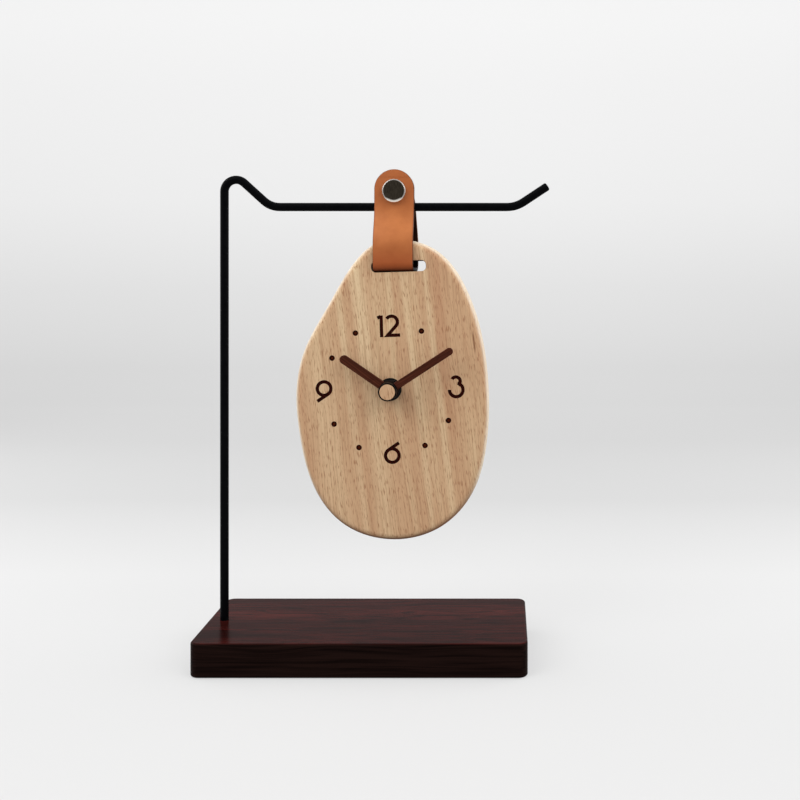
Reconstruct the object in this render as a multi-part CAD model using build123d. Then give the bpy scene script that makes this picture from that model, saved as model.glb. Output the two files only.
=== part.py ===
from build123d import *
import math
import os

# A wooden desk clock: a pebble shaped dial of pale wood hangs by a leather strap
# from a bent steel rod that stands in a dark wooden base.
# X runs to the right as seen from the front, Y to the back, Z up, in millimetres.
# The origin is on the floor, under the middle of the whole clock.

# Base block and its feet
base_width = 189.6
base_depth = 78.0
base_thickness = 19.2
base_corner_radius = 5.5
base_edge_radius = 1.2
foot_diameter = 12.0
foot_thickness = 2.0
foot_stand = 0.3
foot_inset = 12.0

# Bent rod and how it is held in the base
rod_diameter = 5.0
rod_inset = 9.2
arm_height = 266.0
crook_run = 27.6
crook_rise = 25.1
arm_length = 146.6
tip_run = 18.9
tip_rise = 12.5
crook_bend_radius = 7.0
dip_bend_radius = 14.0
tip_bend_radius = 18.0
rod_end_radius = 1.0
rod_nut_flats = 8.0
rod_nut_height = 4.0
rod_washer_diameter = 12.0
rod_washer_thickness = 1.0
rod_recess_diameter = 14.0
rod_recess_depth = 7.0

# Leather strap and the screw rivet that closes it
strap_width = 23.6
strap_thickness = 2.2
strap_place = 111.1
strap_rise = 22.1
strap_ply_gap = 0.2
strap_bend_radius = 22.0
strap_fold_radius = 1.8
strap_shoulder_drop = 4.0
rivet_rise = 9.2
rivet_cap_diameter = 14.0
rivet_cap_height = 2.2
rivet_rim_radius = 0.8
rivet_post_diameter = 5.0
rivet_bore_diameter = 3.0
rivet_head_diameter = 6.0
rivet_head_height = 1.4
rivet_slot_width = 0.9
rivet_slot_depth = 0.6
rivet_wall = 0.8

# Dial body of pale wood
body_width = 113.4
body_height = 176.6
body_depth = 20.0
body_edge_radius = 4.0
body_outline_shares = [
    (0.093, 0.496), (0.291, 0.439), (0.411, 0.317), (0.484, 0.152), (0.507, -0.020), (0.485, -0.211),
    (0.404, -0.361), (0.243, -0.465), (-0.010, -0.504), (-0.276, -0.443), (-0.423, -0.309), (-0.481, -0.148),
    (-0.493, -0.010), (-0.448, 0.130), (-0.310, 0.287), (-0.164, 0.430), (-0.050, 0.489),
]
hang_gap = 20.0
hang_tilt = 1.8
slot_spare = 8.3
slot_margin = 0.9
slot_height = 6.3
slot_corner_share = 0.41
slot_drop = 15.6
slot_shift = 7.2
slot_edge_radius = 0.5

# Burnt hour marks
mark_depth = 0.5
mark_ring_radius = 38.8
upright_ring_radius = 37.3
dot_diameter = 3.3
numeral_height = 13.4
numeral_stroke = 2.0
one_stem_shares = [(-0.300, 0.463), (-0.300, -0.490)]
one_flag_shares = [(-0.470, 0.352), (-0.320, 0.424)]
two_bowl_shares = (0.149, 0.161, 0.257)
two_foot_shares = [(-0.040, -0.420), (0.512, -0.420)]
three_top_shares = (-0.010, 0.260, 0.190)
three_bowl_shares = (-0.004, -0.118, 0.297)
ring_radius_share = 0.297
ring_rise_share = 0.122
tail_length_share = 0.560
tail_slope = 32.4

# Hands and the cap on the centre
hour_hand_length = 34.2
hour_hand_width = 5.0
hour_hub_diameter = 11.2
hour_hand_angle = 306.3
minute_hand_length = 44.2
minute_hand_width = 4.3
minute_hub_diameter = 10.8
minute_hand_angle = 58.7
hand_thickness = 2.4
hand_edge_radius = 0.5
hand_lift = 5.0
hand_gap = 2.2
cap_diameter = 10.6
cap_height = 3.0
cap_bore_depth = 1.4
cap_edge_radius = 0.3
inlay_diameter = 8.9
inlay_thickness = 1.0

# Fixing of the movement in the wood
web_thickness = 4.0
neck_diameter = 7.8
neck_stand = 0.7
gasket_width = 34.0
gasket_thickness = 0.6
fixing_washer_diameter = 13.4
fixing_washer_thickness = 0.8
fixing_nut_flats = 10.8
fixing_nut_height = 2.5

# Movement case
case_width = 56.0
case_height = 56.0
case_rise = 20.0
case_wall = 1.2
case_corner_radius = 2.0
bay_height = 17.4
post_diameter = 3.2
post_inset = 3.4
plate_thickness = 1.0

# Wheels of the movement: depth of each layer, then tooth counts and places
wheel_width = 0.9
layer_gap = 0.45
arbor_diameter = 1.0
hour_tube_diameter = 5.0
minute_arbor_diameter = 3.2
setting_arbor_diameter = 2.4
cannon_teeth = 12
minute_teeth = 36
minute_pinion_teeth = 10
hour_teeth = 40
setting_teeth = 12
center_teeth = 64
third_teeth = 60
second_teeth = 60
train_pinion_teeth = 8
idler_pinion_teeth = 12
idler_teeth = 60
rotor_pinion_teeth = 10
minute_wheel_distance = 9.6
minute_wheel_angle = 180.0
setting_angle = 235.0
third_distance = 9.0
third_angle = 90.0
idler_distance = 9.5
idler_angle = -20.0
rotor_distance = 7.0
rotor_angle = 15.0
tooth_width_share = 0.72
tooth_height_share = 0.80
tooth_depth_share = 1.25
pressure_angle = 20.0
knob_diameter = 11.0
knob_height = 2.4
knob_ribs = 24
knob_rib_depth = 0.3

# Motor, circuit and battery
magnet_diameter = 5.0
magnet_height = 1.6
stator_gap = 0.6
stator_thickness = 1.0
stator_width = 7.6
stator_height = 22.0
stator_arm = 4.0
coil_offset = 7.2
core_width = 2.4
core_thickness = 0.8
bobbin_diameter = 5.8
bobbin_flange = 0.8
bobbin_tube_diameter = 3.6
winding_diameter = 5.2
board_width = 12.0
board_height = 14.0
board_thickness = 0.8
board_margin = 1.0
board_stand = 3.6
crystal_diameter = 2.0
crystal_length = 6.0
chip_diameter = 4.6
chip_height = 0.9
battery_diameter = 13.9
battery_length = 50.2
battery_nub_diameter = 5.4
battery_nub_height = 1.2
battery_edge_radius = 0.8
battery_groove = 0.4
contact_width = 9.0
contact_height = 11.0
contact_thickness = 0.4

# Clearances shared by all pieces, and the overrun of every cut
press_clearance = 0.02
running_clearance = 0.06
free_clearance = 0.3
pocket_clearance = 0.4
end_shake = 0.1
overrun = 1.0

# Places along the depth of the clock, from the front face of the wood to its back
face_y = -body_depth / 2
back_y = body_depth / 2
pocket_y = face_y + web_thickness
case_y = pocket_y + gasket_thickness
works_y = case_y + case_wall
cover_y = back_y - case_wall
hour_y = works_y + layer_gap
motion_y = hour_y + wheel_width + layer_gap
plate_y = motion_y + wheel_width + layer_gap
center_y = plate_y + plate_thickness + layer_gap
third_y = center_y + wheel_width + layer_gap
second_y = third_y + wheel_width + layer_gap
idler_y = second_y + wheel_width + layer_gap
rotor_y = idler_y + wheel_width + layer_gap
plate_back_y = plate_y + plate_thickness
washer_front_y = face_y - fixing_washer_thickness
nut_front_y = washer_front_y - fixing_nut_height
neck_front_y = nut_front_y - neck_stand
hour_hand_back_y = face_y - hand_lift
hour_hand_front_y = hour_hand_back_y - hand_thickness
minute_hand_back_y = hour_hand_front_y - hand_gap
minute_hand_front_y = minute_hand_back_y - hand_thickness
cap_front_y = minute_hand_front_y - cap_height
arbor_front_y = minute_hand_front_y - cap_bore_depth
arbor_back_y = center_y + wheel_width + layer_gap / 2

# Radii that several pieces share
rod_radius = rod_diameter / 2
arbor_radius = arbor_diameter / 2
arbor_hole_radius = arbor_radius + running_clearance
tube_radius = hour_tube_diameter / 2
minute_arbor_radius = minute_arbor_diameter / 2
neck_radius = neck_diameter / 2
setting_radius = setting_arbor_diameter / 2

# Places in the whole clock
tip_slope = math.atan2(tip_rise, tip_run)
tip_rim_reach = (rod_radius - rod_end_radius) * math.sin(tip_slope)
tip_end_reach = tip_rim_reach + rod_end_radius * (1 - math.cos(tip_slope))
right_reach = rod_inset + crook_run + arm_length + tip_run + tip_end_reach
left_x = -(max(base_width, right_reach)) / 2
base_x = left_x + base_width / 2
rod_x = left_x + rod_inset
strap_x = left_x + strap_place
base_bottom_z = foot_stand
base_top_z = base_bottom_z + base_thickness
body_top_z = arm_height - hang_gap
top_share = max(share[1] for share in body_outline_shares)
slot_z = top_share * body_height - slot_drop
slot_width = strap_width + slot_spare
slot_lead = slot_spare / 2 - slot_margin
tilt = math.radians(hang_tilt)
dial_x = strap_x + slot_lead - slot_shift * math.cos(tilt) + slot_z * math.sin(tilt)
dial_z = body_top_z - slot_drop - slot_shift * math.sin(tilt) - slot_z * math.cos(tilt)
hang = Pos(dial_x, 0, dial_z) * Rot(0, -hang_tilt, 0)


def layer(outline, front, back):
    """A plate whose outline is drawn as seen from the front, from depth front to back."""
    return extrude(Plane.XZ.offset(-back) * outline, amount=back - front)


def disc(place, radius, front, back):
    """A round plate or pin along the depth."""
    return layer(Pos(*place) * Circle(radius), front, back)


def bar(place, width, height, front, back):
    """A rectangular plate centred on a place of the front view."""
    return layer(Pos(*place) * Rectangle(width, height), front, back)


def polar(origin, distance, angle):
    """The place at a distance and an angle from another place of the front view."""
    turn = math.radians(angle)
    return (origin[0] + distance * math.cos(turn), origin[1] + distance * math.sin(turn))


def module_of(distance, teeth, mate_teeth):
    """The tooth module that lets two wheels mesh at a given distance."""
    return 2 * distance / (teeth + mate_teeth)


def involute(angle):
    """The involute function of a pressure angle in radians."""
    return math.tan(angle) - angle


def toothing(teeth, module, toward):
    """A toothed outline with one tooth pointing in the direction toward, in degrees."""
    pitch_radius = module * teeth / 2
    base_radius = pitch_radius * math.cos(math.radians(pressure_angle))
    radii = [
        pitch_radius - tooth_depth_share * module,
        pitch_radius,
        pitch_radius + tooth_height_share * module,
    ]
    middle = tooth_width_share * math.pi / (2 * teeth) + involute(math.radians(pressure_angle))
    half_angles = []
    for radius in radii:
        reach = max(radius, base_radius)
        half_angles.append(middle - involute(math.acos(base_radius / reach)))
    flank = list(zip(radii, half_angles))
    points = []
    for tooth in range(teeth):
        heading = math.radians(toward) + 2 * math.pi * tooth / teeth
        for radius, half in flank:
            points.append((radius * math.cos(heading - half), radius * math.sin(heading - half)))
        for radius, half in reversed(flank):
            points.append((radius * math.cos(heading + half), radius * math.sin(heading + half)))
    return make_face(Polyline(*points, close=True))


def gear(place, teeth, module, toward, front, back):
    """A toothed wheel or pinion at a place of the front view."""
    return layer(Pos(*place) * toothing(teeth, module, toward), front, back)


def half_tooth(teeth):
    """The turn that brings a gap where a tooth was."""
    return 180.0 / teeth


# Places of the wheels, as seen from the front with the hands' shaft at zero
shaft = (0, 0)
minute_place = polar(shaft, minute_wheel_distance, minute_wheel_angle)
setting_place = polar(minute_place, minute_wheel_distance, setting_angle)
third_place = polar(shaft, third_distance, third_angle)
idler_place = polar(shaft, idler_distance, idler_angle)
rotor_place = polar(idler_place, rotor_distance, rotor_angle)
motion_module = module_of(minute_wheel_distance, cannon_teeth, minute_teeth)
hour_module = module_of(minute_wheel_distance, minute_pinion_teeth, hour_teeth)
center_module = module_of(third_distance, train_pinion_teeth, center_teeth)
third_module = module_of(third_distance, train_pinion_teeth, third_teeth)
second_module = module_of(idler_distance, idler_pinion_teeth, second_teeth)
idler_module = module_of(rotor_distance, rotor_pinion_teeth, idler_teeth)

# Edges of the movement case in the front view
case_top = case_rise
case_bottom = case_rise - case_height
bay_top = case_bottom + bay_height
works_bottom = bay_top
works_middle = (case_top + works_bottom) / 2
works_height = case_top - works_bottom
case_middle = (0, (case_top + case_bottom) / 2)
works_center = (0, works_middle)
bay_middle_z = case_bottom + case_wall + (bay_height - case_wall) / 2
post_places = [
    (side * (case_width / 2 - post_inset), height)
    for side in (-1, 1)
    for height in (case_top - post_inset, works_bottom + post_inset)
]
board_place = (
    -case_width / 2 + case_wall + board_margin + board_width / 2,
    case_top - post_inset - post_diameter - board_height / 2,
)
board_y = plate_back_y + board_stand
coil_x = rotor_place[0] + coil_offset
stator_y = rotor_y + (magnet_height - stator_thickness) / 2
core_y = stator_y - core_thickness
core_middle_y = core_y + core_thickness / 2
arm_offset = (stator_height - stator_arm) / 2
coil_length = stator_height - 2 * stator_arm


def base_block():
    """Solid block with a stepped hole for the rod and shallow seats for the feet."""
    block = Pos(base_x, 0, base_bottom_z) * extrude(
        RectangleRounded(base_width, base_depth, base_corner_radius), amount=base_thickness
    )
    rims = block.edges().group_by(Axis.Z)
    block = fillet(rims[0] + rims[-1], base_edge_radius)
    block -= Pos(rod_x, 0, base_bottom_z) * Cylinder(
        rod_radius + running_clearance,
        base_thickness + overrun,
        align=(Align.CENTER, Align.CENTER, Align.MIN),
    )
    block -= Pos(rod_x, 0, base_bottom_z - overrun) * Cylinder(
        rod_recess_diameter / 2,
        rod_recess_depth + overrun,
        align=(Align.CENTER, Align.CENTER, Align.MIN),
    )
    for place in foot_places():
        block -= Pos(*place, base_bottom_z - overrun) * Cylinder(
            foot_diameter / 2 + press_clearance,
            foot_thickness - foot_stand + overrun,
            align=(Align.CENTER, Align.CENTER, Align.MIN),
        )
    return block


def foot_places():
    """Centres of the four feet under the corners, clear of the rod's nut."""
    reach_x = base_width / 2 - foot_inset
    reach_y = base_depth / 2 - foot_inset
    return [(base_x + x * reach_x, y * reach_y) for x in (-1, 1) for y in (-1, 1)]


def base_feet():
    """Four soft discs glued into their seats."""
    foot = Cylinder(foot_diameter / 2, foot_thickness, align=(Align.CENTER, Align.CENTER, Align.MIN))
    return Compound(children=[Pos(*place, 0) * foot for place in foot_places()])


def stand_rod():
    """One length of round steel: post, crook, arm and upturned tip with a rounded end."""
    foot_z = base_bottom_z + rod_recess_depth - rod_washer_thickness - rod_nut_height
    dip_x = rod_x + crook_run
    arm_end_x = dip_x + arm_length
    route = FilletPolyline(
        (rod_x, 0, foot_z),
        (rod_x, 0, arm_height + crook_rise),
        (dip_x, 0, arm_height),
        (arm_end_x, 0, arm_height),
        (arm_end_x + tip_run, 0, arm_height + tip_rise),
        radius=[crook_bend_radius, dip_bend_radius, tip_bend_radius],
    )
    rod = sweep(Pos(rod_x, 0, foot_z) * Circle(rod_radius), path=route)
    return fillet(rod.faces().sort_by(Axis.X)[-1].edges(), rod_end_radius)


def rod_washer():
    """Plain washer in the recess under the base."""
    ring = Circle(rod_washer_diameter / 2) - Circle(rod_radius + press_clearance)
    return Pos(rod_x, 0, base_bottom_z + rod_recess_depth - rod_washer_thickness) * extrude(
        ring, amount=rod_washer_thickness
    )


def rod_nut():
    """Hexagon nut on the rod's threaded end."""
    hexagon = RegularPolygon(rod_nut_flats / 2, 6, major_radius=False) - Circle(rod_radius + press_clearance)
    nut_z = base_bottom_z + rod_recess_depth - rod_washer_thickness - rod_nut_height
    return Pos(rod_x, 0, nut_z) * extrude(hexagon, amount=rod_nut_height)


# Places of the strap, seen from the side
half_ply = strap_thickness / 2
front_ply_y = -(rod_radius + free_clearance + half_ply)
back_ply_y = front_ply_y + strap_thickness + strap_ply_gap
face_ply_y = face_y - free_clearance - half_ply
rivet_z = arm_height + rivet_rise
slot_world_z = body_top_z - slot_drop
slot_corner = slot_corner_share * slot_height
strap_left = strap_width / 2 + slot_lead
strap_right = strap_width / 2 - slot_lead
end_reach = max(0, strap_left - slot_width / 2 + slot_corner)
left_half = slot_height / 2 - slot_corner + math.sqrt(slot_corner ** 2 - end_reach ** 2)
slot_roof_z = slot_world_z + left_half - strap_left * math.sin(tilt)
slot_floor_left_z = slot_world_z - left_half - strap_left * math.sin(tilt)
slot_floor_right_z = slot_world_z - slot_height / 2 + strap_right * math.sin(tilt)
strap_floor_z = max(slot_floor_left_z, slot_floor_right_z) + free_clearance + half_ply


def leather_strap():
    """One strip through the slot of the dial and over the rod, its two ends laid together."""
    wrap_radius = rod_radius + free_clearance + half_ply
    fold_rise = wrap_radius + strap_fold_radius / 2
    fold_reach = math.hypot(back_ply_y, fold_rise)
    lift = math.atan2(fold_rise, back_ply_y) - math.acos(wrap_radius / fold_reach)
    corner_rise = wrap_radius * math.tan(lift / 2)
    hem_radius = slot_edge_radius + slot_roof_z - strap_floor_z
    top_z = arm_height + strap_rise
    route = FilletPolyline(
        (strap_x, front_ply_y, top_z),
        (strap_x, front_ply_y, arm_height - strap_shoulder_drop),
        (strap_x, face_ply_y, body_top_z),
        (strap_x, face_ply_y, strap_floor_z),
        (strap_x, -face_ply_y, strap_floor_z),
        (strap_x, -face_ply_y, body_top_z),
        (strap_x, wrap_radius, arm_height + corner_rise),
        (strap_x, back_ply_y, arm_height + fold_rise),
        (strap_x, back_ply_y, top_z),
        radius=[
            strap_bend_radius,
            strap_bend_radius,
            hem_radius,
            hem_radius,
            strap_bend_radius,
            wrap_radius,
            strap_fold_radius,
        ],
    )
    strip = sweep(Pos(strap_x, front_ply_y, top_z) * Rectangle(strap_width, strap_thickness), path=route)
    round_z = top_z - strap_width / 2
    depth = body_depth + strap_thickness
    tongue = Pos(strap_x, round_z) * Circle(strap_width / 2)
    run_height = round_z - strap_floor_z + strap_thickness
    tongue += Pos(strap_x, round_z - run_height / 2) * Rectangle(strap_width + overrun, run_height)
    strip &= layer(tongue, -depth, depth)
    return strip - disc((strap_x, rivet_z), rivet_post_diameter / 2 + press_clearance, -depth, depth)


def rivet_cap():
    """Broad cap with a rounded rim in front and a hollow post through both plies."""
    seat_y = front_ply_y - half_ply
    post_end_y = back_ply_y + half_ply
    place = (strap_x, rivet_z)
    cap = disc(place, rivet_cap_diameter / 2, seat_y - rivet_cap_height, seat_y)
    cap = fillet(cap.edges().sort_by(Axis.Y)[0], rivet_rim_radius)
    post = disc(place, rivet_post_diameter / 2, seat_y, post_end_y)
    bore = disc(place, rivet_bore_diameter / 2, seat_y, post_end_y + overrun)
    return cap + post - bore


def rivet_screw():
    """Slotted screw from the back into the hollow post."""
    seat_y = back_ply_y + half_ply
    place = (strap_x, rivet_z)
    head_y = seat_y + rivet_head_height
    screw = disc(place, rivet_head_diameter / 2, seat_y, head_y)
    shank_radius = rivet_bore_diameter / 2 - press_clearance
    screw += disc(place, shank_radius, front_ply_y - half_ply + rivet_wall, seat_y)
    groove_length = rivet_head_diameter + overrun
    groove = bar(place, groove_length, rivet_slot_width, head_y - rivet_slot_depth, head_y + overrun)
    return screw - groove


def body_outline():
    """The pebble shaped outline, a smooth closed curve about the shaft."""
    points = [(x * body_width, z * body_height) for x, z in body_outline_shares]
    return make_face(Spline(*points, periodic=True))


def on_dial(hour, distance):
    """The place of an hour on the dial."""
    return polar(shaft, distance, 90.0 - 30.0 * hour)


def stroke(*lines):
    """A burnt line of even width along a run of lines."""
    return trace(Curve() + list(lines), numeral_stroke)


def scaled(shares):
    """Points of a numeral from their shares of its height."""
    return [(x * numeral_height, z * numeral_height) for x, z in shares]


def bowl(shares, start, sweep_angle):
    """A round stretch of a numeral from shares of centre and radius."""
    x, z, radius = [share * numeral_height for share in shares]
    return CenterArc((x, z), radius, start, sweep_angle)


def numeral_twelve():
    """One and two side by side."""
    one = stroke(Line(*scaled(one_stem_shares))) + stroke(Line(*scaled(one_flag_shares)))
    arc = bowl(two_bowl_shares, 145, -185)
    two = stroke(arc, Polyline(arc @ 1, *scaled(two_foot_shares)))
    return one + two


def numeral_three():
    """A small bowl over a large one."""
    return stroke(bowl(three_top_shares, 150, -210)) + stroke(bowl(three_bowl_shares, 78, -261))


def numeral_nine():
    """A ring with a straight tail that leaves it as a tangent."""
    radius = ring_radius_share * numeral_height
    rise = ring_rise_share * numeral_height
    slope = math.radians(tail_slope)
    length = tail_length_share * numeral_height
    start = (radius * math.sin(slope), rise - radius * math.cos(slope))
    end = (start[0] - length * math.cos(slope), start[1] - length * math.sin(slope))
    ring = Circle(radius + numeral_stroke / 2) - Circle(radius - numeral_stroke / 2)
    return Pos(0, rise) * ring + stroke(Line(start, end))


def dial_body():
    """Pale wood slab: strap slot, pocket for the movement behind, burnt marks in front."""
    body = layer(body_outline(), face_y, back_y)
    rims = body.faces().filter_by(Axis.Y).edges()
    body = fillet(rims, body_edge_radius)
    slot_outline = Pos(slot_shift, slot_z) * RectangleRounded(slot_width, slot_height, slot_corner)
    body -= layer(slot_outline, face_y - overrun, back_y + overrun)
    slot_box = Box(slot_width + overrun, body_depth + overrun, slot_height + overrun)
    slot_box = Pos(slot_shift, 0, slot_z) * slot_box
    slot_rims = [
        edge
        for face in body.faces().filter_by(Axis.Y)
        for edge in face.edges()
        if slot_box.is_inside(edge @ 0.5) and slot_box.is_inside(edge @ 0)
    ]
    body = fillet(slot_rims, slot_edge_radius)
    pocket = Pos(*case_middle) * RectangleRounded(
        case_width + 2 * pocket_clearance,
        case_height + 2 * pocket_clearance,
        case_corner_radius + pocket_clearance,
    )
    body -= layer(pocket, pocket_y, back_y + overrun)
    body -= disc(shaft, neck_radius + free_clearance, face_y - overrun, pocket_y + overrun)
    numerals = [
        (12, upright_ring_radius, numeral_twelve()),
        (3, mark_ring_radius, numeral_three()),
        (6, upright_ring_radius, Rot(0, 0, 180) * numeral_nine()),
        (9, mark_ring_radius, numeral_nine()),
    ]
    for hour, distance, outline in numerals:
        body -= layer(Pos(*on_dial(hour, distance)) * outline, face_y - overrun, face_y + mark_depth)
    for hour in (1, 2, 4, 5, 7, 8, 10, 11):
        body -= disc(on_dial(hour, mark_ring_radius), dot_diameter / 2, face_y - overrun, face_y + mark_depth)
    return body


def hand(length, width, hub_diameter, hole_radius, angle, front, back):
    """A flat hand with a round tip on a round hub, turned clockwise from twelve."""
    tip_middle = length - width / 2
    outline = Circle(hub_diameter / 2) + Pos(0, tip_middle / 2) * Rectangle(width, tip_middle)
    outline += Pos(0, tip_middle) * Circle(width / 2)
    blank = layer(Rot(0, 0, -angle) * outline, front, back)
    blank = fillet(blank.faces().sort_by(Axis.Y)[0].edges(), hand_edge_radius)
    return blank - disc(shaft, hole_radius, front - overrun, back + overrun)


def hour_hand():
    """Short hand, pressed on the hour wheel's tube."""
    hole_radius = tube_radius + press_clearance
    return hand(
        hour_hand_length, hour_hand_width, hour_hub_diameter, hole_radius,
        hour_hand_angle, hour_hand_front_y, hour_hand_back_y,
    )


def minute_hand():
    """Long hand, pressed on the minute arbor."""
    hole_radius = minute_arbor_radius + press_clearance
    return hand(
        minute_hand_length, minute_hand_width, minute_hub_diameter, hole_radius,
        minute_hand_angle, minute_hand_front_y, minute_hand_back_y,
    )


def hand_cap():
    """Turned dark cap over the end of the minute arbor, hollowed for the pale inlay."""
    cap = disc(shaft, cap_diameter / 2, cap_front_y, minute_hand_front_y)
    cap = fillet(cap.edges().sort_by(Axis.Y)[0], cap_edge_radius)
    inlay_seat_radius = inlay_diameter / 2 + press_clearance
    cap -= disc(shaft, inlay_seat_radius, cap_front_y - overrun, cap_front_y + inlay_thickness)
    bore_radius = minute_arbor_radius + press_clearance
    return cap - disc(shaft, bore_radius, arbor_front_y, minute_hand_front_y + overrun)


def cap_inlay():
    """Pale wood disc let into the cap."""
    return disc(shaft, inlay_diameter / 2, cap_front_y, cap_front_y + inlay_thickness)


def fixing_washer():
    """Flat washer under the nut, on the dial's face."""
    ring = Circle(fixing_washer_diameter / 2) - Circle(neck_radius + press_clearance)
    return layer(ring, washer_front_y, face_y)


def fixing_nut():
    """Thin hexagon nut on the movement's neck."""
    hexagon = RegularPolygon(fixing_nut_flats / 2, 6, major_radius=False)
    hexagon -= Circle(neck_radius + press_clearance)
    return layer(hexagon, nut_front_y, washer_front_y)


def rubber_gasket():
    """Square rubber sheet between the movement and the wood."""
    sheet = RectangleRounded(gasket_width, gasket_width, case_corner_radius)
    return layer(sheet - Circle(neck_radius + press_clearance), pocket_y, case_y)


def case_outline():
    """Outline of the movement as seen from the front."""
    return Pos(*case_middle) * RectangleRounded(case_width, case_height, case_corner_radius)


def movement_case():
    """Moulded tray: works above, battery bay below, and the threaded neck in front."""
    case = layer(case_outline(), case_y, back_y)
    inner_width = case_width - 2 * case_wall
    works = (inner_width, works_height - 2 * case_wall)
    case -= bar(works_center, *works, works_y, back_y + overrun)
    case -= bar(works_center, case_width + overrun, works_height, cover_y, back_y + overrun)
    case -= bar((0, bay_middle_z), inner_width, bay_height - case_wall, works_y, back_y + overrun)
    case += disc(shaft, neck_radius, neck_front_y, case_y)
    case -= disc(shaft, tube_radius + running_clearance, neck_front_y - overrun, works_y + overrun)
    case -= disc(minute_place, arbor_hole_radius, works_y - case_wall / 2, works_y + overrun)
    case -= disc(setting_place, arbor_hole_radius, works_y - case_wall / 2, works_y + overrun)
    for place in post_places:
        case += disc(place, post_diameter / 2, works_y, plate_y)
    return case


def movement_cover():
    """Back plate of the works with seats for the wheels' pivots and a hole for the knob."""
    outline = case_outline() & Pos(*works_center) * Rectangle(case_width, works_height)
    cover = layer(outline, cover_y, back_y)
    for place in (shaft, third_place, idler_place, rotor_place):
        cover -= disc(place, arbor_hole_radius, cover_y - overrun, cover_y + case_wall / 2)
    cover -= disc(setting_place, setting_radius + running_clearance, cover_y - overrun, back_y + overrun)
    for place in post_places:
        cover += disc(place, post_diameter / 2, plate_back_y, cover_y)
    return cover


def train_plate():
    """Middle plate that carries the front pivots of the train, the stator and the board."""
    width = case_width - 2 * case_wall - 2 * free_clearance
    height = works_height - 2 * case_wall - 2 * free_clearance
    plate = bar(works_center, width, height, plate_y, plate_back_y)
    plate -= disc(shaft, minute_arbor_radius + running_clearance, plate_y - overrun, plate_back_y + overrun)
    for place in (minute_place, third_place, idler_place, rotor_place):
        plate -= disc(place, arbor_hole_radius, plate_y - overrun, plate_back_y + overrun)
    setting_hole_radius = setting_radius + running_clearance
    plate -= disc(setting_place, setting_hole_radius, plate_y - overrun, plate_back_y + overrun)
    for side in (-1, 1):
        stator_post = (rotor_place[0], rotor_place[1] + side * arm_offset)
        plate += disc(stator_post, post_diameter / 2, plate_back_y, stator_y)
        board_post = (board_place[0], board_place[1] + side * (board_height / 2 - post_diameter / 2))
        plate += disc(board_post, post_diameter / 2, plate_back_y, board_y)
    return plate


def minute_arbor():
    """Shaft of the minute hand with the cannon pinion, hollow behind for the next pivot."""
    arbor = disc(shaft, minute_arbor_radius, arbor_front_y, arbor_back_y)
    toward = minute_wheel_angle
    arbor += gear(shaft, cannon_teeth, motion_module, toward, motion_y, motion_y + wheel_width)
    return arbor - disc(shaft, arbor_hole_radius, center_y, arbor_back_y + overrun)


def hour_wheel():
    """Wheel and tube of the hour hand, turning on the minute arbor."""
    wheel = gear(shaft, hour_teeth, hour_module, minute_wheel_angle, hour_y, hour_y + wheel_width)
    wheel += disc(shaft, tube_radius, hour_hand_front_y, hour_y + wheel_width)
    bore = minute_arbor_radius + running_clearance
    return wheel - disc(shaft, bore, hour_hand_front_y - overrun, hour_y + wheel_width + overrun)


def minute_wheel():
    """Wheel and pinion that gear the hour wheel down from the minute arbor."""
    toward = minute_wheel_angle + 180.0
    wheel = gear(
        minute_place, minute_teeth, motion_module, toward + half_tooth(minute_teeth),
        motion_y, motion_y + wheel_width,
    )
    wheel += gear(
        minute_place, minute_pinion_teeth, hour_module, toward + half_tooth(minute_pinion_teeth),
        works_y + end_shake, motion_y,
    )
    pivot_front_y = works_y - case_wall / 2 + end_shake
    return wheel + disc(minute_place, arbor_radius, pivot_front_y, plate_back_y)


def setting_pinion():
    """Long pinion that lets the knob behind turn the minute wheel."""
    steps = (setting_angle - minute_wheel_angle - 180.0) / (2 * half_tooth(minute_teeth)) + 0.5
    mate_offset = (steps - math.floor(steps)) * 2 * half_tooth(minute_teeth)
    toward = setting_angle + 180.0 + half_tooth(setting_teeth) + mate_offset * minute_teeth / setting_teeth
    pinion = gear(
        setting_place, setting_teeth, motion_module, toward, motion_y, motion_y + wheel_width
    )
    pinion += disc(setting_place, setting_radius, motion_y + wheel_width, back_y + knob_height / 2)
    return pinion + disc(setting_place, arbor_radius, works_y - case_wall / 2 + end_shake, motion_y)


def setting_knob():
    """Ribbed knob on the back of the movement."""
    front = back_y + end_shake
    knob = disc(setting_place, knob_diameter / 2, front, back_y + knob_height)
    rib_width = math.pi * knob_diameter / knob_ribs / 2
    for rib in range(knob_ribs):
        heading = 360.0 * rib / knob_ribs
        place = polar(setting_place, knob_diameter / 2, heading)
        groove = Pos(*place) * Rot(0, 0, heading) * Rectangle(2 * knob_rib_depth, rib_width)
        knob -= layer(groove, front - overrun, back_y + knob_height + overrun)
    socket_radius = setting_radius + press_clearance
    return knob - disc(setting_place, socket_radius, front - overrun, back_y + knob_height / 2)


def center_wheel():
    """Wheel that drives the minute arbor through a friction fit."""
    wheel = gear(shaft, center_teeth, center_module, third_angle, center_y, center_y + wheel_width)
    bore = minute_arbor_radius + running_clearance
    return wheel - disc(shaft, bore, center_y - overrun, center_y + wheel_width + overrun)


def train_wheel(place, pinion, pinion_front, wheel, wheel_front, arbor_front):
    """A wheel with its pinion in front of it on one arbor."""
    piece = gear(place, *pinion, pinion_front, wheel_front)
    piece += gear(place, *wheel, wheel_front, wheel_front + wheel_width)
    return piece + disc(place, arbor_radius, arbor_front, cover_y + case_wall / 2 - end_shake)


def third_wheel():
    """Step between the second wheel and the center wheel."""
    toward = third_angle + 180.0
    pinion = (train_pinion_teeth, center_module, toward + half_tooth(train_pinion_teeth))
    wheel = (third_teeth, third_module, toward)
    return train_wheel(third_place, pinion, center_y, wheel, third_y, plate_y)


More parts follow.
